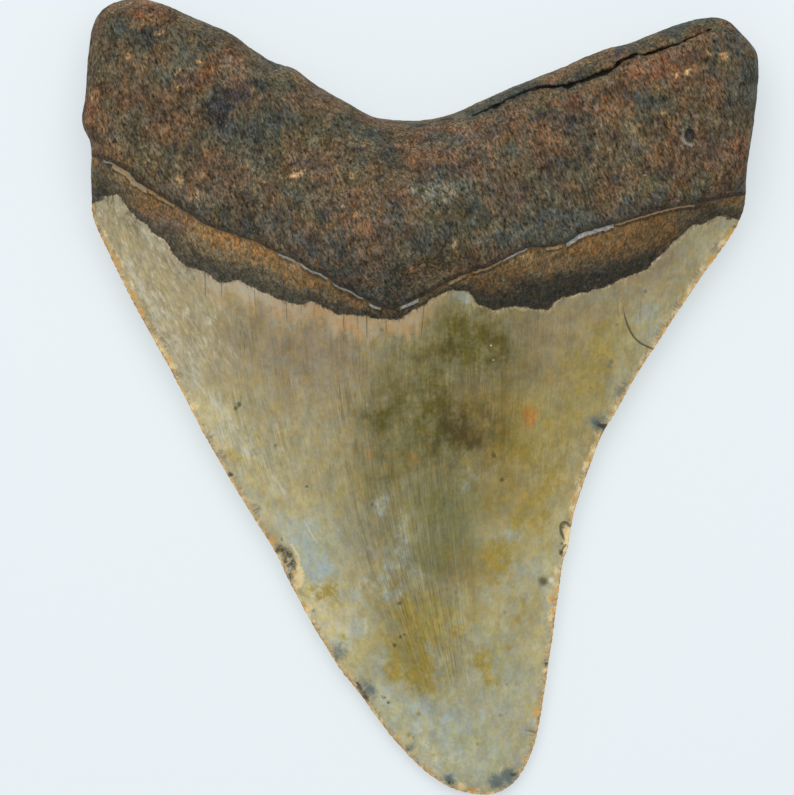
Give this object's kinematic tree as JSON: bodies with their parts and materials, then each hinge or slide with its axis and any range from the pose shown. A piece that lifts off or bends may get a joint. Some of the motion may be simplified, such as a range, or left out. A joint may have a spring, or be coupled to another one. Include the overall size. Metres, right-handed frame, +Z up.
{
  "type": "megalodon tooth",
  "caption": "Large fossil shark tooth with a serrated triangular blade, a dark chevron band and a forked stone-like root, lying flat.",
  "frame": {"origin": "centre of the outline's box, on the surface the tooth lies on", "axes": "+Y from the blade's tip towards the root, +X to the right as seen from above, +Z up out of the lingual face"},
  "size_m": [0.1176, 0.1388, 0.0278],
  "materials": {
    "tooth": "satin enamel on the blade, matt mineralised root"
  },
  "bodies": {
    "root": {"tooth": "tooth"}
  },
  "joints": []
}
